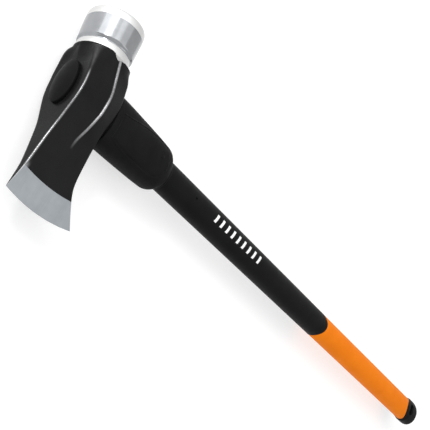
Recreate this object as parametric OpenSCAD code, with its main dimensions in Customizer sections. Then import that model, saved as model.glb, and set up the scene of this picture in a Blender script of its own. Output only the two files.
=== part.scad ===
// Splitting maul, lying on its side.
// +X runs towards the cutting edge, +Y from the head towards the butt, +Z up through the head's cheeks.
// The origin is under the middle of the whole tool, on the surface that it lies on.

/* [Whole tool] */
// Length over all, from the crown of the eye cap to the end of the butt knob
tool_l = 914; // [880:1:950]
// Height of the eye cap's crown above the eye's centre
crown_h = 35; // [34:0.5:37]

/* [Head] */
// Distance from the eye's centre to the middle of the cutting edge
blade_reach = 131; // [126:1:138]
// Distance from the eye's centre to the striking face
poll_reach = 95; // [93:0.5:100]
// Radius of the poll where its machined barrel begins
poll_root_r = 31; // [30.5:0.5:32]
// Radius of the poll at the rim, its widest place
poll_rim_r = 32.5; // [32.5:0.5:34]
// Radius of the flat striking face inside its rounded edge
face_r = 30; // [24:0.5:31]
// Radius of the turned neck between the painted body and the barrel
neck_r = 29.5; // [28:0.5:30]
// Radius that the cutting edge is curved to
edge_bow_r = 188; // [150:1:260]
// Length of the eye, along the head
eye_l = 46; // [44:1:48]
// Width of the eye, across the head
eye_w = 28; // [27:0.5:30]

/* [Handle] */
// Depth of the haft, along the head
haft_d = 39; // [38:0.5:40]
// Thickness of the haft, across the head
haft_t = 32.5; // [32:0.5:34]
// Depth of the soft grip
grip_d = 37; // [36.5:0.5:38]
// Thickness of the soft grip
grip_t = 31; // [30:0.5:32]
// Distance from the eye's centre to the front end of the grip
grip_start = 531; // [500:1:560]
// Distance from the eye's centre to the joint between the grip and the butt knob
grip_end = 836; // [834:0.5:838]
// Distance from the eye's centre to the lower end of the shoulder sleeve
shoulder_end = 141; // [138:1:156]
// Diameter of the handle's core rod
rod_d = 14; // [12:0.5:15]
// Thickness of the soft sleeve round the core rod
damper_t = 2; // [1.5:0.5:2.5]
// Thickness of the soft sleeve that lines the eye
liner_t = 3; // [2:0.5:3.5]

/* [Butt knob] */
// Depth of the knob at its widest place
knob_d = 40; // [38:0.5:41]
// Thickness of the knob at its widest place
knob_t = 33.5; // [32:0.5:35]
// Length of the lanyard slot, end to end
slot_l = 18; // [14:0.5:20]
// Width of the lanyard slot
slot_w = 9; // [7:0.5:10]

/* [Hidden] */
$fn = 96;
oval_sides = 48;
end_y = tool_l - crown_h;
mid_z = poll_rim_r;
eye_x = (poll_reach - blade_reach) / 2;
eye_y = crown_h - tool_l / 2;

// Head: how its outline changes from the neck to the cutting edge.
// Each list pairs a distance towards the edge with a place on the section there.
neck_x = -48;
root_x = -56.5;
rim_x = -85;
bevel_x = blade_reach - 28;
bow_start_x = 55;
bow_y = 3;
edge_half_t = 0.25;
// Height of the flat top face above the eye's centre, and depth of the belly below it
top_h = 26;
belly_h = 30;
stations = [
    neck_x, -45, -41, -36, -30, -22, -12, 0, 12, 22, 32, 42, 52, 64, 78, 88, 96,
    bevel_x, bevel_x + 14, blade_reach
];
top_y_at = [
    [neck_x, -30.6], [-36, -28], [-30, -top_h], [42, -top_h],
    [64, -27.2], [bevel_x, -29.8], [bevel_x + 14, -32.2], [blade_reach, -35]
];
ridge_y_at = [
    [neck_x, -22], [-41, -25], [-30, -top_h], [42, -top_h],
    [64, -27.2], [bevel_x, -29.8], [bevel_x + 14, -32.2], [blade_reach, -35]
];
ridge_z_at = [
    [neck_x, 21.5], [-41, 24], [-30, 26.5], [-12, 28], [0, 28], [12, 26.8], [22, 24.2],
    [32, 20.8], [42, 17.4], [52, 14.2], [64, 11.4], [bevel_x, 4.3], [blade_reach, edge_half_t]
];
crease_y_at = [
    [neck_x, 3.5], [-26, 9.5], [-8, 12.4], [12, 11.4], [32, 8.6], [56, 5], [blade_reach, 5]
];
crease_z_at = [
    [neck_x, 28.5], [-30, 27.4], [-8, 28], [12, 26.8], [22, 24.2], [32, 21],
    [42, 17.4], [52, 14.2], [64, 11.4], [bevel_x, 4.3], [blade_reach, edge_half_t]
];
foot_y_at = [
    [neck_x, 22], [-45, 24], [-34, 30], [-22, 32.5], [-10, 34], [4, 33], [21, 30], [64, 30],
    [78, 31.2], [88, 33], [96, 36], [bevel_x, 39.5], [bevel_x + 14, 47.5], [blade_reach, 56]
];
foot_z_at = [
    [neck_x, 22], [-45, 24.5], [-34, 22.8], [-10, 21.5], [12, 19.5], [32, 15.8],
    [52, 12.8], [64, 11.4], [bevel_x, 4.3], [blade_reach, edge_half_t]
];
belly_y_at = [[neck_x, 29], [-34, belly_h], [40, belly_h]];

function mix(a, b, t) = a + (b - a) * t;
function at(table, x) = lookup(x, table);
function oval(p, q) = [
    for (i = [0 : oval_sides - 1]) [p * cos(360 * i / oval_sides), q * sin(360 * i / oval_sides)]
];

// Corners of half a section of the body, from the middle of the top to the middle of the belly
function half_corners(x) = [
    [at(top_y_at, x), 0],
    [at(ridge_y_at, x), at(ridge_z_at, x)],
    [at(crease_y_at, x), at(crease_z_at, x)],
    [at(foot_y_at, x), at(foot_z_at, x)],
    [x < 40 ? at(belly_y_at, x) : at(foot_y_at, x), 0]
];
steps = [3, 4, 3, 3];

// The same half section with each side cut into steps, leaving out the belly's middle
function half_points(x) = let (k = half_corners(x)) [
    for (side = [0 : 3])
        for (i = [0 : steps[side] - 1])
            mix(k[side], k[side + 1], i / steps[side])
];
function ring_points(x) = let (h = half_points(x), n = len(h)) concat(
    h,
    [half_corners(x)[4]],
    [for (i = [n - 1 : -1 : 1]) [h[i][0], -h[i][1]]]
);

// Sections near the cutting edge are bent back to follow its curve
function bow(x, y) =
    let (share = min(1, max(0, (x - bow_start_x) / (bevel_x - bow_start_x))))
    share * pow(y - bow_y, 2) / (2 * edge_bow_r);

module in_tool_frame() {
    translate([eye_x, eye_y, mid_z]) children();
}

// Extrudes along the handle, from y1 to y2, an outline drawn with its depth along X
module along_handle(y1, y2) {
    translate([0, y2, 0]) rotate([90, 0, 0]) linear_extrude(y2 - y1) children();
}

// Revolves about the head's long axis: an outline of [radius, distance towards the poll]
module about_poll() {
    rotate([0, -90, 0]) rotate_extrude() children();
}

module stadium(l, w) {
    for (side = [-1, 1])
        translate([side * (l - w) / 2, 0]) circle(d = w);
    square([l - w, w], center = true);
}

module body_loft() {
    rings = [for (x = stations) [for (p = ring_points(x)) [x - bow(x, p[0]), p[0], p[1]]]];
    n = len(rings[0]);
    m = len(stations);
    points = concat([for (r = rings) each r], [[neck_x, 0, 0], [blade_reach, bow_y, 0]]);
    sides = [
        for (j = [0 : m - 2])
            for (i = [0 : n - 1])
                let (a = j * n + i, b = j * n + (i + 1) % n, c = b + n, d = a + n)
                    each [[a, b, c], [a, c, d]]
    ];
    neck_cap = [for (i = [0 : n - 1]) [(i + 1) % n, i, m * n]];
    edge_cap = [for (i = [0 : n - 1]) [(m - 1) * n + i, (m - 1) * n + (i + 1) % n, m * n + 1]];
    polyhedron(points, concat(sides, neck_cap, edge_cap), convexity = 6);
}

module head_forging() {
    color([0.13, 0.13, 0.13]) in_tool_frame() difference() {
        union() {
            body_loft();
            about_poll() polygon([
                [0, 30], [neck_r, 30], [neck_r, -root_x - 1], [poll_root_r, -root_x],
                [poll_rim_r, -rim_x], [poll_rim_r, poll_reach - 3],
                [poll_rim_r - 0.9, poll_reach - 0.8], [face_r, poll_reach], [0, poll_reach]
            ]);
        }
        eye();
    }
}

module eye() {
    along_handle(-60, 60) stadium(eye_l, eye_w);
}

// The handle's tenon fills the liner, from just under the cap to the neck of the shoulder sleeve
tenon_top_y = -22;
tenon_end_y = 36;

module tenon_outline() {
    stadium(eye_l - 2 * liner_t, eye_w - 2 * liner_t);
}

module eye_liner() {
    color([0.2, 0.2, 0.2]) in_tool_frame() along_handle(-top_h, belly_h) difference() {
        stadium(eye_l, eye_w);
        tenon_outline();
    }
}

cap_p = 26.5;
cap_q = 15.6;
cap_rim_y = -31;

module eye_cap() {
    color([0.1, 0.1, 0.1]) in_tool_frame() {
        along_handle(cap_rim_y, -top_h) polygon(oval(cap_p, cap_q));
        hull() {
            along_handle(cap_rim_y - 0.5, cap_rim_y) polygon(oval(cap_p, cap_q));
            along_handle(mix(cap_rim_y, -crown_h, 0.6), cap_rim_y)
                polygon(oval(cap_p * 0.8, cap_q * 0.8));
            along_handle(-crown_h, cap_rim_y) polygon(oval(cap_p * 0.45, cap_q * 0.45));
        }
        along_handle(-top_h, tenon_top_y) tenon_outline();
    }
}

shell_end_y = grip_end + 3;
grip_wall = 3;
damper_d = rod_d + 2 * damper_t;
damper_start_y = -16;
damper_end_y = shell_end_y - 3;

module haft_shell() {
    color([0.12, 0.12, 0.12]) in_tool_frame() difference() {
        union() {
            along_handle(tenon_top_y, tenon_end_y) tenon_outline();
            along_handle(tenon_end_y, grip_start) polygon(oval(haft_d / 2, haft_t / 2));
            along_handle(grip_start, shell_end_y)
                polygon(oval(grip_d / 2 - grip_wall, grip_t / 2 - grip_wall));
        }
        along_handle(damper_start_y, damper_end_y) circle(d = damper_d);
    }
}

module damping_sleeve() {
    color([0.35, 0.35, 0.35]) in_tool_frame() along_handle(damper_start_y, damper_end_y)
        difference() {
            circle(d = damper_d);
            circle(d = rod_d);
        }
}

module core_rod() {
    color([0.8, 0.75, 0.55]) in_tool_frame() along_handle(damper_start_y, damper_end_y)
        circle(d = rod_d);
}

// Place, half depth and half thickness of the shoulder sleeve's slices, from the head down
shoulder_slices = [
    [belly_h, 32.5, 21.5], [60, 32.2, 22.5], [shoulder_end - 14, 28.3, 22.3],
    [shoulder_end - 6, 26.4, 21], [shoulder_end, 21, 17.6]
];
slice_t = 0.5;

// The sleeve is moulded up against the belly, so it has the belly's shape at its top
module shoulder_sleeve() {
    color([0.1, 0.1, 0.1]) in_tool_frame() difference() {
        for (i = [1 : len(shoulder_slices) - 1])
            let (a = shoulder_slices[i - 1], b = shoulder_slices[i]) hull() {
                along_handle(a[0], a[0] + slice_t) polygon(oval(a[1], a[2]));
                along_handle(b[0] - slice_t, b[0]) polygon(oval(b[1], b[2]));
            }
        along_handle(tenon_end_y, shoulder_end + 1) polygon(oval(haft_d / 2, haft_t / 2));
        along_handle(belly_h - 1, tenon_end_y) tenon_outline();
        difference() {
            body_loft();
            eye();
        }
    }
}

module soft_grip() {
    color([0.95, 0.45, 0.1]) in_tool_frame() along_handle(grip_start, grip_end) difference() {
        polygon(oval(grip_d / 2, grip_t / 2));
        polygon(oval(grip_d / 2 - grip_wall, grip_t / 2 - grip_wall));
    }
}

slot_y = 847;

module butt_knob() {
    color([0.1, 0.1, 0.1]) in_tool_frame() difference() {
        hull() {
            along_handle(grip_end, grip_end + 0.5) polygon(oval(grip_d / 2, grip_t / 2));
            along_handle(grip_end + 12, end_y - 14) polygon(oval(knob_d / 2, knob_t / 2));
            along_handle(grip_end + 12, end_y - 4) polygon(oval(knob_d / 2 - 3, knob_t / 2 - 3));
            along_handle(grip_end + 12, end_y) polygon(oval(knob_d / 2 - 9, knob_t / 2 - 8));
        }
        along_handle(grip_end - 1, shell_end_y)
            polygon(oval(grip_d / 2 - grip_wall, grip_t / 2 - grip_wall));
        translate([0, slot_y, -knob_t])
            linear_extrude(2 * knob_t) stadium(slot_l, slot_w);
    }
}

head_forging();
eye_cap();
eye_liner();
haft_shell();
damping_sleeve();
core_rod();
shoulder_sleeve();
soft_grip();
butt_knob();
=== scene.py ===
"""A splitting maul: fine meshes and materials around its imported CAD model, in a plain studio."""

import math

import bmesh
import bpy
from mathutils import Matrix, Vector


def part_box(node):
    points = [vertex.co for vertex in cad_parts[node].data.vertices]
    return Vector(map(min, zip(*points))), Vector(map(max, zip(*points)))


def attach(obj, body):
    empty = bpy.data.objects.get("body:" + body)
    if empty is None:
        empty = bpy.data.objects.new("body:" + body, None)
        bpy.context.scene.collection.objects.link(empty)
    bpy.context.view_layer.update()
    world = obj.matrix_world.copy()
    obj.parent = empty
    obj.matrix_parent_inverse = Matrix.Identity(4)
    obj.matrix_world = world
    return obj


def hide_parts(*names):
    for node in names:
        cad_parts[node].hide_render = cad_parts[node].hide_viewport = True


# ---------------------------------------------------------------- frame and places

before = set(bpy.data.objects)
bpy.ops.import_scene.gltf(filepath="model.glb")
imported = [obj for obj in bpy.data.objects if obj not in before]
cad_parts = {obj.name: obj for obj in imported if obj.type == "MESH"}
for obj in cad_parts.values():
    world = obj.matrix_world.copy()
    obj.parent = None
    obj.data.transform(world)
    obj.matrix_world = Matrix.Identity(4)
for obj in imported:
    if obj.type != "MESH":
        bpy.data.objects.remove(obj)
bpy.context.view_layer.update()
MM = 0.001

# The eye of the head is the middle of every shape below. The liner that fills it gives its place.
LINER_LO, LINER_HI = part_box("eye_liner")
TOP_H = 26
EYE = Vector((
    (LINER_LO.x + LINER_HI.x) / 2,
    LINER_LO.y + TOP_H * MM,
    (LINER_LO.z + LINER_HI.z) / 2,
))


def place(x, y, z):
    """A point of the frame, in mm off the eye: x to the edge, y to the butt, z to the upper cheek."""
    return EYE + Vector((x, y, z)) * MM


def off_eye(point):
    """Millimetres off the eye of a point of the frame."""
    return (point - EYE) / MM


LENS_MM, ROLL_DEGREES = 75.4, 90.74
CAMERA_AT, CAMERA_TO = (422.6, -486.4, 665.7), (-11.8, 249.4, 0)


def add_camera():
    """The camera looks down on the cheek from beyond the head, with the handle leading away."""
    data = bpy.data.cameras.new("camera")
    data.lens = LENS_MM
    data.clip_end = 50
    camera = bpy.data.objects.new("camera", data)
    bpy.context.scene.collection.objects.link(camera)
    camera.location = place(*CAMERA_AT)
    look = (place(*CAMERA_TO) - camera.location).normalized()
    roll = Matrix.Rotation(math.radians(ROLL_DEGREES), 4, "Z")
    camera.matrix_world = (
        Matrix.Translation(camera.location) @ upright(look).to_4x4() @ roll
    )
    bpy.context.scene.camera = camera


def upright(look):
    """Camera axes that look along a direction, with the world's Z up in the picture."""
    right = look.cross(Vector((0, 0, 1))).normalized()
    up = right.cross(look)
    return Matrix((right, up, -look)).transposed()


add_camera()

# ---------------------------------------------------------------- mesh tools


def along(table, x):
    """The value at x on a smooth curve through (x, value) pairs. It never overshoots them."""
    if x <= table[0][0]:
        return table[0][1]
    if x >= table[-1][0]:
        return table[-1][1]
    i = max(k for k in range(len(table) - 1) if table[k][0] <= x)
    (x0, v0), (x1, v1) = table[i], table[i + 1]
    width = x1 - x0
    t = (x - x0) / width
    m0, m1 = tangent(table, i) * width, tangent(table, i + 1) * width
    return (
        v0 * (2 * t**3 - 3 * t**2 + 1)
        + m0 * (t**3 - 2 * t**2 + t)
        + v1 * (3 * t**2 - 2 * t**3)
        + m1 * (t**3 - t**2)
    )


def tangent(table, i):
    """Slope at a point of the table: zero at a peak, else the harmonic mean of the slopes beside it."""
    slopes = [
        (table[k + 1][1] - table[k][1]) / (table[k + 1][0] - table[k][0])
        for k in (i - 1, i)
        if 0 <= k < len(table) - 1
    ]
    if len(slopes) == 1:
        return slopes[0]
    if slopes[0] * slopes[1] <= 0:
        return 0
    return 2 * slopes[0] * slopes[1] / (slopes[0] + slopes[1])


def smooth_step(low, high, value):
    """0 below low, 1 above high, and a smooth rise between them."""
    t = min(1, max(0, (value - low) / (high - low)))
    return t * t * (3 - 2 * t)


def spread(start, end, step):
    """Evenly spaced values from start to end, no further apart than step."""
    count = math.ceil(abs(end - start) / step)
    return [start + (end - start) * i / count for i in range(count + 1)]


SMOOTH_DEGREES = 34


def mesh_object(name, points, faces):
    """A mesh of points in millimetres off the eye, smooth except over sharp corners."""
    mesh = bpy.data.meshes.new(name)
    mesh.from_pydata([place(*p) for p in points], [], faces)
    mesh.validate()
    shade(mesh)
    made = bpy.data.objects.new(name, mesh)
    bpy.context.scene.collection.objects.link(made)
    return made


def shade(mesh):
    """Smooth shading, except over corners sharper than SMOOTH_DEGREES."""
    mesh.shade_smooth()
    mesh.set_sharp_from_angle(angle=math.radians(SMOOTH_DEGREES))


def skin(rings):
    """Points and faces of the skin through rings of points, with a flat cap at both ends."""
    n = len(rings[0])
    points = [p for ring in rings for p in ring]
    faces = [
        (j * n + i, j * n + (i + 1) % n, (j + 1) * n + (i + 1) % n, (j + 1) * n + i)
        for j in range(len(rings) - 1)
        for i in range(n)
    ]
    faces.append(tuple(range(n - 1, -1, -1)))
    faces.append(tuple((len(rings) - 1) * n + i for i in range(n)))
    return points, faces


def tube_skin(rings):
    """Points and faces of rings that come back to the first one, as round a hollow tube."""
    n, m = len(rings[0]), len(rings)
    points = [p for ring in rings for p in ring]
    faces = [
        (j * n + i, j * n + (i + 1) % n, (j + 1) % m * n + (i + 1) % n, (j + 1) % m * n + i)
        for j in range(m)
        for i in range(n)
    ]
    return points, faces


def joined(*parts):
    """Several lots of points and faces as one."""
    points, faces = [], []
    for more_points, more_faces in parts:
        start = len(points)
        points += more_points
        faces += [tuple(start + i for i in face) for face in more_faces]
    return points, faces


def outward(made):
    """Turns every face to look out of its solid."""
    work = bmesh.new()
    work.from_mesh(made.data)
    bmesh.ops.recalc_face_normals(work, faces=work.faces)
    work.to_mesh(made.data)
    work.free()


def cut(made, *cutters):
    """Takes closed cutters out of a piece, and throws them away."""
    for cutter in cutters:
        outward(cutter)
        change = made.modifiers.new("cut", "BOOLEAN")
        change.operation = "DIFFERENCE"
        change.solver = "EXACT"
        change.object = cutter
    apply_modifiers(made)
    for cutter in cutters:
        bpy.data.objects.remove(cutter)


def apply_modifiers(made):
    """Makes the result of the modifiers the piece's own mesh."""
    bpy.context.view_layer.update()
    graph = bpy.context.evaluated_depsgraph_get()
    mesh = bpy.data.meshes.new_from_object(made.evaluated_get(graph))
    made.modifiers.clear()
    made.data = mesh
    shade(mesh)


def finish_piece(made, material, slot, *nodes):
    """Gives a piece its material, sets it on the tool, and hides the CAD nodes that it stands in for; its
    slot is not used.
    """
    made.data.materials.clear()
    made.data.materials.append(material)
    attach(made, "root")
    if nodes:
        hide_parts(*nodes)


def add_solid(name, rings, material, slot, node):
    """A closed solid through rings, finished as a piece in place of its CAD node."""
    made = mesh_object(name, *skin(rings))
    outward(made)
    finish_piece(made, material, slot, node)


def oval(half_depth, half_width, y, sides, power=2.0):
    """A ring round the handle at y, fuller than an ellipse where power is over 2."""
    ring = []
    for i in range(sides):
        angle = math.tau * i / sides
        c, s = math.cos(angle), math.sin(angle)
        reach = (abs(c) ** power + abs(s) ** power) ** (-1 / power)
        ring.append((half_depth * reach * c, y, half_width * reach * s))
    return ring


def stadium(length, width, y, sides):
    """A ring with straight sides and round ends, across the handle at y."""
    half = (length - width) / 2
    ring = []
    for i in range(sides):
        angle = math.tau * (i + 0.5) / sides
        side = math.copysign(half, math.cos(angle))
        ring.append((side + width / 2 * math.cos(angle), y, width / 2 * math.sin(angle)))
    return ring


# ---------------------------------------------------------------- materials


# Most of a noise texture's values lie between these two
NOISE_LOW, NOISE_HIGH = 0.3, 0.7
# Colour sockets of a Mix node
MIX_FIRST, MIX_SECOND, MIX_RESULT = 6, 7, 2
# Grey metal that the paint turns to in its painted highlights
HIGHLIGHT_GREY = (0.4, 0.4, 0.41, 1)


class Look:
    """A material of Principled nodes with helpers for noise, ramps and bumps."""

    def __init__(self, name, **sockets):
        self.made = bpy.data.materials.new(name)
        self.made.use_nodes = True
        self.tree = self.made.node_tree
        self.shader = self.tree.nodes["Principled BSDF"]
        for socket, value in sockets.items():
            self.shader.inputs[socket.replace("_", " ")].default_value = value
        coordinates = self.tree.nodes.new("ShaderNodeTexCoord")
        self.position = coordinates.outputs["Object"]

    def node(self, kind, **inputs):
        """A new node with values or links set on its inputs."""
        made = self.tree.nodes.new(kind)
        for name, value in inputs.items():
            self.put(made.inputs[name.replace("_", " ")], value)
        return made

    def put(self, socket, value):
        """Links an output to a socket, or sets a constant on it."""
        if isinstance(value, bpy.types.NodeSocket):
            self.tree.links.new(value, socket)
        else:
            socket.default_value = value

    def noise(self, size_mm, detail=3, stretch=(1, 1, 1)):
        """Noise between 0 and 1 with features of about that size, longer along a stretched axis."""
        scaled = self.node("ShaderNodeVectorMath")
        scaled.operation = "MULTIPLY"
        self.put(scaled.inputs[0], self.position)
        self.put(scaled.inputs[1], [1 / (size_mm * MM * s) for s in stretch])
        texture = self.node(
            "ShaderNodeTexNoise", Vector=scaled.outputs[0], Scale=1.0, Detail=detail
        )
        return texture.outputs["Fac"]

    def ranged(self, value, low, high):
        """Noise stretched to run from low to high."""
        mapped = self.node(
            "ShaderNodeMapRange",
            Value=value,
            From_Min=NOISE_LOW,
            From_Max=NOISE_HIGH,
            To_Min=low,
            To_Max=high,
        )
        return mapped.outputs["Result"]

    def blend(self, value, first, second):
        """A colour between two colours."""
        ramp = self.tree.nodes.new("ShaderNodeValToRGB")
        ramp.color_ramp.elements[0].position = NOISE_LOW
        ramp.color_ramp.elements[1].position = NOISE_HIGH
        ramp.color_ramp.elements[0].color = (*first, 1)
        ramp.color_ramp.elements[1].color = (*second, 1)
        self.put(ramp.inputs["Fac"], value)
        return ramp.outputs["Color"]

    def bump(self, height, depth_mm, strength):
        """Normals of a height between 0 and 1 over that depth."""
        made = self.node("ShaderNodeBump", Height=height, Distance=depth_mm * MM, Strength=strength)
        return made.outputs["Normal"]

    def set(self, **sockets):
        """Sets or links the shader's own sockets."""
        for name, value in sockets.items():
            self.put(self.shader.inputs[name.replace("_", " ")], value)


def satin_paint():
    """Black paint, turned to grey metal along the head's ridges as a painted highlight, as far as a mesh
    attribute says.
    """
    look = Look("satin_black_paint", Specular_IOR_Level=0.08)
    attribute = look.tree.nodes.new("ShaderNodeAttribute")
    attribute.attribute_name = "painted_highlight"
    # Noise that breaks up the painted highlight
    highlight_mottle = look.ranged(look.noise(2.5, detail=4), 0.72, 1.0)
    painted_highlight = look.node("ShaderNodeMath")
    painted_highlight.operation = "MULTIPLY"
    look.put(painted_highlight.inputs[0], attribute.outputs["Fac"])
    look.put(painted_highlight.inputs[1], highlight_mottle)
    paint = look.blend(look.noise(22), (0.0065, 0.0065, 0.0067), (0.0085, 0.0085, 0.0088))
    colour = look.node("ShaderNodeMix")
    colour.data_type = "RGBA"
    look.put(colour.inputs["Factor"], painted_highlight.outputs[0])
    look.put(colour.inputs[MIX_FIRST], paint)
    look.put(colour.inputs[MIX_SECOND], HIGHLIGHT_GREY)
    look.set(
        Base_Color=colour.outputs[MIX_RESULT],
        Metallic=painted_highlight.outputs[0],
        Roughness=look.ranged(look.noise(9), 0.25, 0.31),
        Normal=look.bump(look.noise(1.6, detail=2), 0.02, 0.4),
    )
    return look.made


def ground_steel():
    """Steel with fine grinding marks that run towards the edge."""
    look = Look("ground_steel", Metallic=1.0)
    grain = look.noise(0.35, detail=4, stretch=(40, 1, 40))
    look.set(
        Base_Color=look.blend(look.noise(14), (0.31, 0.333, 0.352), (0.35, 0.373, 0.392)),
        Roughness=look.ranged(grain, 0.42, 0.56),
        Normal=look.bump(grain, 0.012, 0.6),
    )
    return look.made


def polished_steel():
    """Turned and polished steel, with faint rings round the poll."""
    look = Look("polished_steel", Metallic=1.0)
    turning = look.noise(0.22, detail=3, stretch=(1, 60, 60))
    look.set(
        Base_Color=look.blend(look.noise(18), (0.30, 0.309, 0.321), (0.35, 0.36, 0.373)),
        Roughness=look.ranged(turning, 0.14, 0.22),
        Normal=look.bump(turning, 0.004, 0.5),
    )
    return look.made


def bright_steel():
    """Pale satin steel of the poll's neck and face and of the toe's rims: a lighter finish than the
    barrel, and so pale that it is partly a painted highlight.
    """
    look = Look("bright_steel", Metallic=1.0)
    look.set(
        Base_Color=look.blend(look.noise(18), (0.66, 0.66, 0.655), (0.7, 0.7, 0.695)),
        Roughness=look.ranged(look.noise(0.5), 0.42, 0.52),
    )
    return look.made


def black_moulding():
    """Hard black plastic with a fine grain."""
    look = Look("black_moulding", Specular_IOR_Level=0.05)
    grain = look.noise(0.45, detail=2)
    look.set(
        Base_Color=look.blend(look.noise(26), (0.005, 0.005, 0.0051), (0.0066, 0.0066, 0.0068)),
        Roughness=look.ranged(look.noise(7), 0.44, 0.54),
        Normal=look.bump(grain, 0.02, 0.45),
    )
    return look.made


def black_rubber():
    """Black rubber, rougher than the moulding."""
    look = Look("black_rubber", Specular_IOR_Level=0.05)
    grain = look.noise(0.6, detail=3)
    look.set(
        Base_Color=look.blend(look.noise(20), (0.006, 0.006, 0.0061), (0.008, 0.008, 0.0082)),
        Roughness=look.ranged(look.noise(6), 0.52, 0.64),
        Normal=look.bump(grain, 0.025, 0.5),
    )
    return look.made


def orange_grip():
    """Matt orange rubber with a fine grain."""
    look = Look("orange_soft_grip", Specular_IOR_Level=0.04)
    grain = look.noise(0.5, detail=3)
    look.set(
        Base_Color=look.blend(look.noise(30), (0.74, 0.175, 0.004), (0.79, 0.2, 0.006)),
        Roughness=look.ranged(look.noise(8), 0.5, 0.6),
        Normal=look.bump(grain, 0.02, 0.45),
    )
    return look.made


def grey_rubber():
    """Grey rubber of the damping sleeve."""
    look = Look("grey_rubber", Roughness=0.7)
    look.set(
        Base_Color=look.blend(look.noise(8), (0.17, 0.17, 0.17), (0.23, 0.23, 0.23)),
        Normal=look.bump(look.noise(0.8), 0.03, 0.5),
    )
    return look.made


def glass_fibre():
    """Straw-coloured glass fibre, its strands along the rod."""
    look = Look("glass_fibre", Roughness=0.35)
    strands = look.noise(0.5, detail=4, stretch=(1, 80, 1))
    look.set(
        Base_Color=look.blend(strands, (0.62, 0.56, 0.36), (0.80, 0.77, 0.58)),
        Normal=look.bump(strands, 0.03, 0.6),
    )
    return look.made


def white_print():
    """White printing ink."""
    look = Look("white_print", Roughness=0.5)
    look.set(Base_Color=look.blend(look.noise(3), (0.80, 0.80, 0.80), (0.90, 0.90, 0.90)))
    return look.made


PAINT = satin_paint()
GROUND = ground_steel()
POLISHED = polished_steel()
BRIGHT = bright_steel()
MOULDING = black_moulding()
RUBBER = black_rubber()
ORANGE = orange_grip()

# ---------------------------------------------------------------- head

NECK_X, BEVEL_X, EDGE_X = -48, 103, 131
# The cutting edge bows by about that radius, with its foremost point at BOW_Y. The bow starts in the cheek
EDGE_BOW_R, BOW_START_X, BOW_Y = 188, 55, 3

# Corners of half a section through the head, each as (x, place) pairs from the neck to the edge
TOP_Y = [
    (NECK_X, -30.6), (-43, -29.9), (-37, -28.4), (-31, -26.8), (-25, -26), (42, -26), (64, -27.2),
    (BEVEL_X, -29.8), (117, -32.2), (EDGE_X, -35),
]
VALLEY_Y = [
    (NECK_X, -30.2), (-43, -28.2), (-37, -26.4), (-30, -25.4), (-20, -25.7), (42, -26), (64, -27.2),
    (BEVEL_X, -29.8), (117, -32.2), (EDGE_X, -35),
]
VALLEY_Z = [
    (NECK_X, 5), (-34, 12.5), (-25, 17), (-12, 19), (0, 18), (20, 14), (42, 9), (64, 5.6),
    (BEVEL_X, 2), (EDGE_X, 0.12),
]
RIDGE_Y = [
    (NECK_X, -22.6), (-45, -26.2), (-38, -28.4), (-31, -28), (-20, -27), (0, -26), (42, -26),
    (64, -27.2), (BEVEL_X, -29.8), (117, -32.2), (EDGE_X, -35),
]
RIDGE_Z = [
    (NECK_X, 21.5), (-45, 24.8), (-38, 26), (-30, 27), (-12, 28), (0, 28), (12, 26.8), (22, 24.2),
    (32, 20.8), (42, 17.4), (52, 14.2), (64, 11.4), (BEVEL_X, 4.3), (EDGE_X, 0.25),
]
HOLLOW_Y = [(NECK_X, -11), (-20, -9), (20, -8), (53, -3), (BEVEL_X, -5), (EDGE_X, -10)]
HOLLOW_Z = [
    (NECK_X, 28.7), (-30, 27.6), (0, 27), (20, 23.8), (35, 19.2), (53, 13.4), (64, 11.1),
    (BEVEL_X, 4.3), (EDGE_X, 0.25),
]
CREASE_Y = [
    (NECK_X, 3.9), (-26, 9.9), (-8, 12.8), (12, 11.8), (32, 9), (56, 5), (EDGE_X, 5),
]
CREASE_Z = [
    (NECK_X, 28.4), (-30, 27.6), (-8, 28), (12, 26.8), (22, 24.4), (32, 21.3), (42, 17.7),
    (52, 14.3), (64, 11.3), (BEVEL_X, 4.3), (EDGE_X, 0.25),
]
# The flank that steps up to the crease: its width, and its height above the hollow cheek
FLANK_W = [(NECK_X, 2.6), (20, 2.6), (44, 2.2), (62, 1)]
FLANK_H = [(NECK_X, 1.8), (-20, 2.4), (16, 2.3), (40, 1.5), (52, 0.7), (62, 0)]
FOOT_Y = [
    (NECK_X, 24.5), (-42, 27.5), (-34, 30), (-22, 32.5), (-10, 34), (4, 33), (21, 30), (40, 29.4),
    (64, 30), (78, 31.2), (88, 33), (96, 36), (BEVEL_X, 39.5), (117, 47.5), (EDGE_X, 56),
]
FOOT_Z = [
    (NECK_X, 22.5), (-42, 23.5), (-34, 22.8), (-10, 21.5), (12, 19.5), (32, 15.8),
    (52, 12.8), (64, 11.2), (BEVEL_X, 4.3), (EDGE_X, 0.25),
]
POCKET_Y = [
    (NECK_X, 29), (-40, 30), (25, 30), (40, 29.4), (64, 30), (78, 31.2), (88, 33), (96, 36),
    (BEVEL_X, 39.5), (117, 47.5), (EDGE_X, 56),
]
# How far each corner's rounding reaches along the sides that meet there
ROUNDING = {
    "valley": [(NECK_X, 8), (-20, 4), (0, 1), (EDGE_X, 0.05)],
    "ridge": [
        (NECK_X, 8), (-36, 7), (-24, 6), (-10, 3.6), (60, 3), (96, 2), (BEVEL_X, 0.9), (EDGE_X, 0.05)
    ],
    "hollow": [(NECK_X, 9), (BEVEL_X, 9), (EDGE_X, 4)],
    "flank": [(NECK_X, 1), (20, 1), (45, 2), (EDGE_X, 2)],
    "crease": [(NECK_X, 1.1), (20, 1.1), (45, 2), (60, 6), (EDGE_X, 6)],
    "foot": [(NECK_X, 6), (-34, 3), (0, 2), (60, 2), (BEVEL_X, 0.8), (EDGE_X, 0.05)],
    "pocket": [(NECK_X, 1), (EDGE_X, 0.05)],
}
# How wide the pocket for the shoulder sleeve is, as a share of the foot
POCKET_SHARE = 0.88
# Points along each side of the section, and round each of its corners
SIDE_STEPS, ROUND_STEPS = 3, 7


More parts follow.
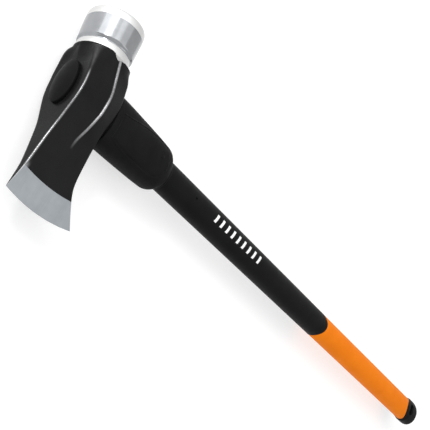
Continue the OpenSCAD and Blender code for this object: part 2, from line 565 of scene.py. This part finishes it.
def half_section(x):
    """Corners of half a section, from the middle of the top, with the reach of each one's rounding."""
    foot_y, foot_z = along(FOOT_Y, x), along(FOOT_Z, x)
    crease_y, crease_z = along(CREASE_Y, x), along(CREASE_Z, x)
    flank = (crease_y - along(FLANK_W, x), crease_z - along(FLANK_H, x))
    pocket_y = min(foot_y + 4, along(POCKET_Y, x))
    return [
        ((along(TOP_Y, x), 0), 0),
        ((along(VALLEY_Y, x), along(VALLEY_Z, x)), along(ROUNDING["valley"], x)),
        ((along(RIDGE_Y, x), along(RIDGE_Z, x)), along(ROUNDING["ridge"], x)),
        ((along(HOLLOW_Y, x), along(HOLLOW_Z, x)), along(ROUNDING["hollow"], x)),
        (flank, along(ROUNDING["flank"], x)),
        ((crease_y, crease_z), along(ROUNDING["crease"], x)),
        ((foot_y, foot_z), along(ROUNDING["foot"], x)),
        ((pocket_y, foot_z * POCKET_SHARE), along(ROUNDING["pocket"], x)),
        ((pocket_y, 0), 0),
    ]


def rounded(corners):
    """Points along a chain of corners, each rounded off by a curve that leaves its sides smoothly."""
    points = [corners[0][0]]
    for i in range(1, len(corners) - 1):
        before, (corner, reach), after = corners[i - 1][0], corners[i], corners[i + 1][0]
        start = toward(corner, before, reach)
        end = toward(corner, after, reach)
        points += between(points[-1], start, SIDE_STEPS)
        for k in range(1, ROUND_STEPS + 1):
            t = k / ROUND_STEPS
            points.append(tuple(
                (1 - t) ** 2 * a + 2 * t * (1 - t) * b + t**2 * c
                for a, b, c in zip(start, corner, end)
            ))
    return points + between(points[-1], corners[-1][0], SIDE_STEPS)


def toward(corner, other, reach):
    """The point that far from a corner towards its neighbour, and never past 0.45 of the way."""
    length = math.dist(corner, other)
    t = min(0.45, reach / length) if length else 0
    return tuple(a + (b - a) * t for a, b in zip(corner, other))


def between(start, end, steps):
    """Points on the line from start to end, without the start."""
    return [tuple(a + (b - a) * k / steps for a, b in zip(start, end)) for k in range(1, steps + 1)]


def bow(x, y):
    """How far the curve of the cutting edge pulls a point back."""
    share = min(1, max(0, (x - BOW_START_X) / (BEVEL_X - BOW_START_X)))
    return share * (y - BOW_Y) ** 2 / (2 * EDGE_BOW_R)


# The collar where the body meets the poll: its radius by degrees round from the top, how far it
# blends into the body there and at the foot, how far its foot leads, and the notch at the lip's end
COLLAR_R = [(0, 30.9), (82, 30.9), (112, 30.4), (130, 32.6), (144, 33.8), (156, 33.4), (180, 32)]
COLLAR_L, COLLAR_FOOT_L, FOOT_LEAD = 4, 15, 1.5
NOTCH_DEPTH, NOTCH_Y, NOTCH_HALF_W = 1.4, 1.5, 4


def collared(x, y, z):
    """A point of the section at x, drawn towards the round collar as x nears the neck."""
    angle = math.degrees(math.atan2(abs(z), -y))
    top = (1 - smooth_step(58, 90, angle)) * (1 - smooth_step(NECK_X, NECK_X + COLLAR_L, x))
    foot = smooth_step(98, 118, angle) * (1 - smooth_step(NECK_X, NECK_X + COLLAR_FOOT_L, x))
    reach = 1 + max(top, foot) * (along(COLLAR_R, angle) / math.hypot(y, z) - 1)
    return y * reach, z * reach


def collar_lead(x, y):
    """How far the collar reaches over the poll's neck: back at the lip's notch, forward at the foot."""
    notch = 1 - smooth_step(1, NOTCH_HALF_W, abs(y - NOTCH_Y))
    near = 1 - smooth_step(NECK_X, NECK_X + COLLAR_FOOT_L, x)
    return (FOOT_LEAD * smooth_step(18, 30, y) - NOTCH_DEPTH * notch) * near


def head_ring(x):
    """The whole section at x as a closed ring."""
    half = [collared(x, y, z) for y, z in rounded(half_section(x))]
    ring = half + [(y, -z) for y, z in reversed(half[1:-1])]
    return [(x - bow(x, y) - collar_lead(x, y), y, z) for y, z in ring]


POLL_SIDES = 160


def revolved(profile):
    """Rings about the head's long axis, from (distance towards the poll, radius) pairs."""
    turns = [math.tau * i / POLL_SIDES for i in range(POLL_SIDES)]
    return [[(-a, -r * math.cos(turn), r * math.sin(turn)) for turn in turns] for a, r in profile]


# How bright the painted highlights on the ridge, lip and haunch are along the head, and how wide the
# haunch's painted highlight is
RIDGE_SHINE = [(-18, 0), (-4, 1), (50, 1), (BEVEL_X, 0.7)]
LIP_SHINE = [(NECK_X, 1), (-36, 0.7), (-12, 0.35), (8, 0.75), (30, 0.7), (60, 0)]
HAUNCH_SHINE = [(NECK_X, 0), (-42, 0.12), (-24, 0.2), (-6, 0)]
HAUNCH_W = [(NECK_X, 9), (-34, 6), (-18, 3)]
# How far down the flank from the crease the lip's painted highlight is centred
LIP_SHARE = 0.3


def highlight_strength(x, y, z):
    """How strong the painted highlight is at a point: on the ridge, on the lip of the crease and on the
    haunch by the neck.
    """
    ridge = math.hypot(y - along(RIDGE_Y, x), abs(z) - along(RIDGE_Z, x))
    lip_y = along(CREASE_Y, x) - LIP_SHARE * along(FLANK_W, x)
    lip_z = along(CREASE_Z, x) - LIP_SHARE * along(FLANK_H, x)
    lip = math.hypot(y - lip_y, abs(z) - lip_z)
    return max(
        along(RIDGE_SHINE, x) * (1 - smooth_step(0.6, 2.2, ridge)),
        along(HAUNCH_SHINE, x) * (1 - smooth_step(0, along(HAUNCH_W, x), ridge)),
        along(LIP_SHINE, x) * (1 - smooth_step(0.5, 1.8, lip)),
    )


def add_painted_highlight(made):
    """Stores the painted highlight's strength at each point of the head's body, for its paint to read."""
    painted_highlight = made.data.attributes.new("painted_highlight", "FLOAT", "POINT")
    for vertex, value in zip(made.data.vertices, painted_highlight.data):
        x, y, z = off_eye(vertex.co)
        value.value = highlight_strength(x + bow(x, y), y, z)


# Length and width of the eye, and how far its cutter reaches to both sides
EYE_L, EYE_W, EYE_REACH = 46, 28, 60


def eye_cutter():
    """The eye that runs right through the head."""
    ends = [stadium(EYE_L, EYE_W, y, 96) for y in (-EYE_REACH, EYE_REACH)]
    return mesh_object("eye_cutter", *skin(ends))


# Turned outlines of the poll, as (distance towards the poll, radius) pairs
POLL_NECK = [(44, 25), (46.2, 28), (47.4, 29.4), (55.4, 29.6), (55.6, 29.5)]
POLL_GROOVE = [(55.6, 29.2), (56.2, 28.9), (57, 28.9), (57.8, 29.2), (58.6, 29.9), (59.2, 30.7)]
BARREL_START, BARREL_R, BARREL_TAPER = 59.7, 31.05, 1.35 / 25
POLL_BARREL = [
    *POLL_GROOVE,
    (BARREL_START, BARREL_R),
    *((a, BARREL_R + BARREL_TAPER * (a - BARREL_START)) for a in spread(61, 84.6, 2)),
    (85, 32.42),
]
POLL_FACE = [
    (85, 32.42), (85.1, 32.25), (88, 32.4), (91, 32.4),
    (93, 32.2), (94.2, 31.7), (94.8, 30.9), (95, 29.8),
]

# How far the end plates stand out of the blade, and how deep they reach into it
PLATE_PROUD, PLATE_SUNK = 0.06, 0.4
# Shares of the blade's half thickness where the toe's paint, the toe's rim and the heel's paint end
TOE_PAINT, TOE_RIM, HEEL_PAINT = 0.83, 0.98, 0.85


def end_plate(place_y, half_z, outward_y, low, high):
    """Rings of a thin plate on the blade's toe or heel, between two shares of its half thickness."""
    rings = []
    for x in spread(BEVEL_X, EDGE_X - 1, 2):
        y, half = along(place_y, x), along(half_z, x)
        proud, sunk = y + PLATE_PROUD * outward_y, y - PLATE_SUNK * outward_y
        corners = (
            (proud, low * half),
            (proud, high * half),
            (sunk, high * half),
            (sunk, low * half),
        )
        rings.append([(x - bow(x, y), side_y, side_z) for side_y, side_z in corners])
    return rings


def build_body():
    """The painted body of the head, with the eye through it and painted highlights along its ridges."""
    places = spread(NECK_X, -10, 1) + spread(-10, BEVEL_X, 1.6)[1:]
    body = mesh_object("head_body", *skin([head_ring(x) for x in places]))
    outward(body)
    cut(body, eye_cutter())
    add_painted_highlight(body)
    finish_piece(body, PAINT, "painted_steel", "head_forging")


def build_head():
    """The painted body, the ground bevel and the polished poll, each as a solid of its own."""
    build_body()
    bevel = [head_ring(x) for x in spread(BEVEL_X, EDGE_X, 1.75)]
    add_solid("ground_bevel", bevel, GROUND, "ground_steel", "head_forging")

    toe, heel = (TOP_Y, RIDGE_Z, -1), (POCKET_Y, FOOT_Z, 1)
    for name, end, low, high, material, slot in (
        ("toe_end", toe, -TOE_PAINT, TOE_PAINT, PAINT, "painted_steel"),
        ("heel_end", heel, -HEEL_PAINT, HEEL_PAINT, PAINT, "painted_steel"),
        # The toe's rims: thin lines of pale steel along the toe's paint, partly a painted highlight
        ("toe_rim", toe, TOE_PAINT, TOE_RIM, BRIGHT, "ground_steel"),
        ("toe_rim_far", toe, -TOE_RIM, -TOE_PAINT, BRIGHT, "ground_steel"),
    ):
        add_solid(name, end_plate(*end, low, high), material, slot, "head_forging")

    for name, profile, material in (
        ("poll_neck", POLL_NECK, BRIGHT),
        ("polished_poll", POLL_BARREL, POLISHED),
        ("striking_face", POLL_FACE, BRIGHT),
    ):
        add_solid(name, revolved(profile), material, "polished_steel", "head_forging")


# ---------------------------------------------------------------- handle

# Half depths (P) and half thicknesses (Q) of the pieces, and where they start and end along the handle
CAP_P, CAP_Q = 26.5, 15.6
CAP_RIM_Y, CAP_RIM_INSET, CAP_CROWN_H = -29.9, 0.9, 3.4
TENON_L, TENON_W, TENON_TOP_Y, TENON_END_Y = 40, 22, -22, 36
HAFT_P, HAFT_Q = 19.5, 16.25
HAFT_END_P, HAFT_END_Q = 18.7, 15.65
GRIP_P, GRIP_Q = 18.5, 15.5
GRIP_WALL = 3
CORE_P, CORE_Q = GRIP_P - GRIP_WALL, GRIP_Q - GRIP_WALL
# Clearance of the haft in the sleeve and the knob: across the whole tenon, and on each side of an oval
TENON_PLAY, HAFT_PLAY = 0.2, 0.05
SHELL_END_Y, BORE_TOP_Y, BORE_END_Y, BORE_R = 839, -16, 836, 9
JOINT_Y, JOINT_SAG, JOINT_GAP = 525, 10, 0.25
KNOB_TOP_Y, KNOB_RISE, KNOB_WIDE_Y, KNOB_ROUND_Y, KNOB_END_Y = 848, 14, 852, 860, 879
KNOB_BACK_P, KNOB_FRONT_P, KNOB_Q = 20.4, 20, 16.5
# The rounded lip at a joint line, as (distance from the line, inset) pairs
JOINT_LIP = ((0, 0.35), (0.25, 0.08), (0.6, 0))
HANDLE_SIDES = 120
# The cap's wall from the head to its rim, as (y, inset) pairs
CAP_WALL = [
    (-TOP_H, 0.6), (-26.3, 0.15), (-26.7, 0), (-28.9, 0), (-29.4, 0.12), (-29.7, 0.4),
    (CAP_RIM_Y, CAP_RIM_INSET),
]


def build_eye_cap():
    """The domed oval cap over the eye, with its stem in the liner."""
    sides = 96
    rings = [stadium(TENON_L, TENON_W, y, sides) for y in (TENON_TOP_Y, -TOP_H)]
    rings += [oval(CAP_P - inset, CAP_Q - inset, y, sides) for y, inset in CAP_WALL]
    crown_p, crown_q = CAP_P - CAP_RIM_INSET, CAP_Q - CAP_RIM_INSET
    for share in spread(1, 0.04, 0.08)[1:]:
        y = CAP_RIM_Y - CAP_CROWN_H * (1 - share**2.2)
        rings.append(oval(crown_p * share, crown_q * share, y, sides))
    add_solid("eye_cap_moulding", rings, MOULDING, "black_moulding", "eye_cap")


# Half depth and half thickness of the shoulder sleeve along the handle
SHOULDER_P = [
    (34, 31.8), (37, 32.5), (56, 32.0), (66, 31.6), (87, 30.6), (105, 29.6), (118, 28.7),
    (127, 27.9), (131, 26.7), (134.5, 24.6), (137, 21.6),
]
SHOULDER_Q = [
    (34, 20.6), (38, 21.4), (60, 22.4), (105, 22.6), (122, 22.2), (130, 21.2), (134, 19.6), (137, 17.6),
]
# The sleeve's rim at its lower end, as (y, half depth, half thickness)
SHOULDER_LIP = [(138.4, 20.8, 17.2), (139.7, 20.6, 17.1), (140.6, 20.3, 16.9), (141, 19.9, 16.6)]
SHOULDER_SIDES = 220
# The sleeve's neck goes up into the head's pocket, and its wall starts below the head
SLEEVE_NECK_P, SLEEVE_NECK_Q, SLEEVE_TOP_Y, SLEEVE_NECK_Y = 30.9, 18.8, 30.4, 33.8
WALL_TOP_Y, WALL_ROUND_Y, WALL_END_Y = 34.2, 126, 137
# The raised panel on each cheek of the sleeve: its reach to both sides, its ends and its height
PANEL_TO_POLL = [(40, 8.5), (48, 9.5), (83, 17.5), (108, 20), (116, 19), (122, 14), (125, 6)]
PANEL_TO_EDGE = [(40, 20), (60, 23), (108, 22), (116, 20), (122, 14), (125, 6)]
PANEL_TOP_Y, PANEL_END_Y, PANEL_H, PANEL_GROOVE = 42, 125, 0.55, 0.9
# The round mark in the panel, and the arch pressed in above it
MARK_X, MARK_Y, MARK_DEPTH, ARCH_R, ARCH_DEPTH = -3, 113, 1.6, 6, 1.1


def panel_rise(x, y):
    """Height of the raised panel: it widens from the head, ends in a round, and has a groove round it."""
    to_poll, to_edge = along(PANEL_TO_POLL, y), along(PANEL_TO_EDGE, y)
    inside = min(x + to_poll, to_edge - x, y - PANEL_TOP_Y, PANEL_END_Y - y)
    groove = PANEL_GROOVE * (1 - smooth_step(0, 1, abs(inside + 0.5)))
    return PANEL_H * smooth_step(0, 1.8, inside) - groove


def gate_mark(x, y):
    """Depth of the round mark near the foot of the panel, with the arch pressed in above it."""
    from_mark = math.hypot(x - MARK_X, y - MARK_Y)
    dot = MARK_DEPTH * (1 - smooth_step(1.9, 2.9, from_mark))
    above = smooth_step(MARK_Y + 0.5, MARK_Y - 1.5, y)
    arch = ARCH_DEPTH * (1 - smooth_step(0.5, 1.1, abs(from_mark - ARCH_R))) * above
    return dot + arch


def shoulder_ring(y):
    """The sleeve's outline at y, with the panel and the mark on its cheeks."""
    p, q = along(SHOULDER_P, y), along(SHOULDER_Q, y)
    ring = []
    for x, _, z in oval(p, q, y, SHOULDER_SIDES, power=2.25):
        lift = (panel_rise(x, y) - gate_mark(x, y)) if abs(z) > q * 0.5 else 0
        ring.append((x, y, z + math.copysign(lift, z)))
    return ring


def build_shoulder():
    """The sleeve below the head: it hides the top of the haft and takes the missed blows."""
    rings = [
        stadium(TENON_L + TENON_PLAY, TENON_W + TENON_PLAY, y, SHOULDER_SIDES)
        for y in (TENON_END_Y, SLEEVE_TOP_Y)
    ]
    for y in (SLEEVE_TOP_Y, SLEEVE_NECK_Y):
        rings.append(oval(SLEEVE_NECK_P, SLEEVE_NECK_Q, y, SHOULDER_SIDES))
    rings += [shoulder_ring(y) for y in spread(WALL_TOP_Y, WALL_ROUND_Y, 0.8)]
    rings += [shoulder_ring(y) for y in spread(WALL_ROUND_Y, WALL_END_Y, 0.6)[1:]]
    rings += [oval(p, q, y, SHOULDER_SIDES) for y, p, q in SHOULDER_LIP]
    for y in (SHOULDER_LIP[-1][0] - 0.1, TENON_END_Y):
        rings.append(oval(HAFT_P + HAFT_PLAY, HAFT_Q + HAFT_PLAY, y, SHOULDER_SIDES))
    sleeve = mesh_object("shoulder_moulding", *tube_skin(rings))
    outward(sleeve)
    finish_piece(sleeve, RUBBER, "black_rubber", "shoulder_sleeve")


def joint_y(x, z, start, sag, p, q):
    """Place of a curved joint line: at start on the front and back, and start + sag on the cheeks."""
    across = (z / q) ** 2 / ((x / p) ** 2 + (z / q) ** 2)
    return start + sag * across


def joint_ring(p, q, start, sag, shift):
    """A ring that follows the curved joint line, that far along the handle from it."""
    return [
        (x, joint_y(x, z, start, sag, p, q) + shift, z)
        for x, _, z in oval(p, q, 0, HANDLE_SIDES)
    ]


def mixed(start, end, share):
    """A ring that share of the way from one ring to another."""
    return [tuple(a + (b - a) * share for a, b in zip(p, q)) for p, q in zip(start, end)]


def haft_size(y):
    """Half depth and half thickness of the haft, which slims slightly towards the grip."""
    share = (y - TENON_END_Y) / (JOINT_Y - TENON_END_Y)
    return HAFT_P + (HAFT_END_P - HAFT_P) * share, HAFT_Q + (HAFT_END_Q - HAFT_Q) * share


def haft_ring(y):
    """The haft's plain oval at y."""
    return oval(*haft_size(y), y, HANDLE_SIDES)


def build_haft():
    """The moulded shell of the handle, from the tenon in the eye to the end inside the knob."""
    plain_end_y = 500
    end_p, end_q = haft_size(JOINT_Y)
    rings = [stadium(TENON_L, TENON_W, y, HANDLE_SIDES) for y in (TENON_TOP_Y, TENON_END_Y)]
    rings += [haft_ring(y) for y in spread(TENON_END_Y, plain_end_y, 16)]
    plain, joint = haft_ring(plain_end_y), joint_ring(end_p, end_q, JOINT_Y, JOINT_SAG, 0)
    rings += [mixed(plain, joint, share) for share in (0.35, 0.7, 0.9)]
    for shift, inset in reversed(JOINT_LIP):
        rings.append(joint_ring(end_p - inset, end_q - inset, JOINT_Y, JOINT_SAG, -shift))
    rings.append(joint_ring(CORE_P, CORE_Q, JOINT_Y, JOINT_SAG, 0))
    rings.append(oval(CORE_P, CORE_Q, SHELL_END_Y, HANDLE_SIDES))
    bore = [oval(BORE_R, BORE_R, y, 64) for y in (BORE_TOP_Y, BORE_END_Y)]
    haft = mesh_object("haft_moulding", *skin(rings))
    outward(haft)
    cut(haft, mesh_object("bore", *skin(bore)), gate_dot_cutter())
    finish_piece(haft, MOULDING, "black_moulding", "haft_shell")


def gate_dot_cutter():
    """A small round dimple on the upper cheek, where the handle was moulded."""
    dot_y, sides = 193, 32
    turns = [math.tau * i / sides for i in range(sides)]
    rings = [
        [(r * math.cos(turn), dot_y + r * math.sin(turn), z) for turn in turns]
        for r, z in ((0.9, 14.6), (1.5, 15.4), (1.7, 17.5))
    ]
    return mesh_object("gate_dot", *skin(rings))


def build_grip():
    """The orange sleeve between its two curved joints."""
    rings = [joint_ring(CORE_P, CORE_Q, JOINT_Y, JOINT_SAG, JOINT_GAP)]
    for shift, inset in JOINT_LIP:
        rings.append(joint_ring(GRIP_P - inset, GRIP_Q - inset, JOINT_Y, JOINT_SAG, shift + JOINT_GAP))
    plain_start_y, plain_end_y = 545, 822
    rings += [oval(GRIP_P, GRIP_Q, y, HANDLE_SIDES) for y in spread(plain_start_y, plain_end_y, 16)]
    for shift, inset in reversed(JOINT_LIP):
        rings.append(
            joint_ring(GRIP_P - inset, GRIP_Q - inset, KNOB_TOP_Y, -KNOB_RISE, -shift - JOINT_GAP)
        )
    rings.append(joint_ring(CORE_P, CORE_Q, KNOB_TOP_Y, -KNOB_RISE, -JOINT_GAP))
    grip = mesh_object("grip_moulding", *tube_skin(rings))
    outward(grip)
    finish_piece(grip, ORANGE, "orange_grip", "soft_grip")


def knob_outline(y):
    """Half depth towards the poll, half depth towards the edge, and half thickness of the knob."""
    t = max(0, (y - KNOB_ROUND_Y) / (KNOB_END_Y - KNOB_ROUND_Y))
    back_end = (1 - t**3.2) ** 0.42
    front_end = (1 - t**5) ** 0.36
    return (
        KNOB_BACK_P * back_end,
        KNOB_FRONT_P * front_end,
        KNOB_Q * (0.25 + 0.75 * back_end),
    )


def knob_ring(y):
    """The knob's outline at y, with its own depth on either side."""
    back, front, q = knob_outline(y)
    unit = oval(1, 1, y, HANDLE_SIDES)
    return [(x * (back if x < 0 else front), y, z * q) for x, _, z in unit]


def build_knob():
    """The knob that keeps the hands on the tool, with its slot for a cord."""
    bore_p, bore_q = CORE_P + HAFT_PLAY, CORE_Q + HAFT_PLAY
    rings = [oval(bore_p, bore_q, SHELL_END_Y, HANDLE_SIDES)]
    rings.append(joint_ring(bore_p, bore_q, KNOB_TOP_Y, -KNOB_RISE, 0))
    for shift, inset in JOINT_LIP:
        rings.append(joint_ring(GRIP_P - inset, GRIP_Q - inset, KNOB_TOP_Y, -KNOB_RISE, shift))
    joint, widest = rings[-1], knob_ring(KNOB_WIDE_Y)
    rings += [mixed(joint, widest, share) for share in (0.2, 0.4, 0.6, 0.8)]
    rings += [knob_ring(y) for y in spread(KNOB_WIDE_Y, KNOB_ROUND_Y, 2)]
    length = KNOB_END_Y - KNOB_ROUND_Y
    for degrees in range(6, 90, 6):
        rings.append(knob_ring(KNOB_ROUND_Y + length * math.sin(math.radians(degrees))))
    knob = mesh_object("knob_moulding", *skin(rings))
    outward(knob)
    cut(knob, slot_cutter())
    finish_piece(knob, MOULDING, "black_moulding", "butt_knob")


SLOT_L, SLOT_W, SLOT_Y = 17, 9, 850
# How much wider the slot is at each height: it opens out at both faces
SLOT_FLARE = ((13, 0), (14.4, 0.4), (16, 1.6), (20, 4))


def slot_cutter():
    """A slot with round ends, right through the knob."""
    heights = [(-z, grow) for z, grow in reversed(SLOT_FLARE)] + list(SLOT_FLARE)
    rings = []
    for z, grow in heights:
        flat = stadium(SLOT_L + grow, SLOT_W + grow, 0, 64)
        rings.append([(x, SLOT_Y + across, z) for x, _, across in flat])
    return mesh_object("slot_cutter", *skin(rings))


def haft_surface(x, y):
    """Height of the haft's upper cheek."""
    p, q = haft_size(y)
    return q * math.sqrt(max(0, 1 - (x / p) ** 2))


# The printed bars: each BAR_W wide, and BAR_SLANT nearer to the head on the edge's side
BAR_COUNT, BAR_FIRST_Y, BAR_PITCH, BAR_W, BAR_HALF_L, BAR_SLANT = 9, 238, 12.6, 4.2, 5.6, 4
BAR_STEPS, BAR_PROUD, BAR_SUNK = 8, 0.08, 0.3


def bar_rings(side, number):
    """Rings of one slanted bar, bent over the cheek on that side."""
    rings = []
    for k in range(BAR_STEPS + 1):
        x = -BAR_HALF_L + 2 * BAR_HALF_L * k / BAR_STEPS
        start = BAR_FIRST_Y + BAR_PITCH * number - BAR_SLANT * k / BAR_STEPS
        end = start + BAR_W
        corners = ((start, BAR_PROUD), (end, BAR_PROUD), (end, -BAR_SUNK), (start, -BAR_SUNK))
        rings.append([(x, y, side * (haft_surface(x, y) + h)) for y, h in corners])
    return rings


def build_print():
    """A plain row of slanted white bars printed on both cheeks."""
    parts = [skin(bar_rings(side, number)) for side in (1, -1) for number in range(BAR_COUNT)]
    bars = mesh_object("printed_bars", *joined(*parts))
    outward(bars)
    finish_piece(bars, white_print(), "white_print")


def dress_inner_parts():
    """The CAD pieces that stay inside the tool keep their shapes and get their materials."""
    for node, material in (
        ("eye_liner", RUBBER),
        ("damping_sleeve", grey_rubber()),
        ("core_rod", glass_fibre()),
    ):
        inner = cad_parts[node]
        inner.data.materials.clear()
        inner.data.materials.append(material)


build_head()
build_eye_cap()
build_shoulder()
build_haft()
build_grip()
build_knob()
build_print()
dress_inner_parts()

# ---------------------------------------------------------------- studio

POLL_MIDDLE = (-70, 0, 0)
FLOOR_REACH_M = 12

def add_floor():
    """A plain pale floor under the tool, with a faint glow that softens the shadow."""
    signs = ((-1, -1), (1, -1), (1, 1), (-1, 1))
    corners = [(x * FLOOR_REACH_M, y * FLOOR_REACH_M, 0) for x, y in signs]
    mesh = bpy.data.meshes.new("floor")
    mesh.from_pydata(corners, [], [(0, 1, 2, 3)])
    floor = bpy.data.objects.new("floor", mesh)
    bpy.context.scene.collection.objects.link(floor)
    look = Look("floor", Roughness=0.9)
    look.set(
        Base_Color=look.blend(look.noise(400), (0.42, 0.42, 0.42), (0.44, 0.44, 0.44)),
        Emission_Color=(1, 1, 1, 1),
        Emission_Strength=0.6,
    )
    mesh.materials.append(look.made)


def add_light(name, direction, distance, size, brightness, target=(0, 150, 0)):
    """A soft rectangular light in that direction from its target. Its power grows with its area."""
    data = bpy.data.lights.new(name, "AREA")
    data.shape = "RECTANGLE"
    data.size, data.size_y = size
    data.energy = brightness * math.pi * size[0] * size[1]
    lamp = bpy.data.objects.new(name, data)
    bpy.context.scene.collection.objects.link(lamp)
    aim = place(*target)
    lamp.location = aim + Vector(direction).normalized() * distance
    lamp.rotation_mode = "QUATERNION"
    lamp.rotation_quaternion = (aim - lamp.location).to_track_quat("-Z", "Y")


def add_world(strength):
    """Even white light from all round."""
    world = bpy.data.worlds.new("studio")
    world.use_nodes = True
    back = world.node_tree.nodes["Background"]
    back.inputs["Color"].default_value = (1, 1, 1, 1)
    back.inputs["Strength"].default_value = strength
    bpy.context.scene.world = world


add_floor()
add_world(0.8)
add_light("strip", (-0.27, -0.76, 0.56), 1.5, (0.5, 0.16), 34, target=(40, 0, 0))
add_light("softbox", (-0.456, -0.4, 0.8), 2.0, (1.7, 1.15), 0.9, target=POLL_MIDDLE)
add_light("softbox_core", (-0.456, -0.79, 0.41), 1.9, (1.6, 1.6), 1.8, target=POLL_MIDDLE)
add_light("softbox_edge", (-0.456, 0.05, 0.89), 2.0, (1.6, 1.2), 0.5, target=POLL_MIDDLE)
add_light("side_light", (0.8, -0.3, 0.5), 2.5, (2.0, 2.0), 0.12, target=(0, 250, 0))
add_light("far_fill", (0.1, 0.2, 0.95), 1.8, (1.2, 1.2), 0.8, target=(0, 700, 0))

bpy.context.scene.view_settings.view_transform = "Standard"
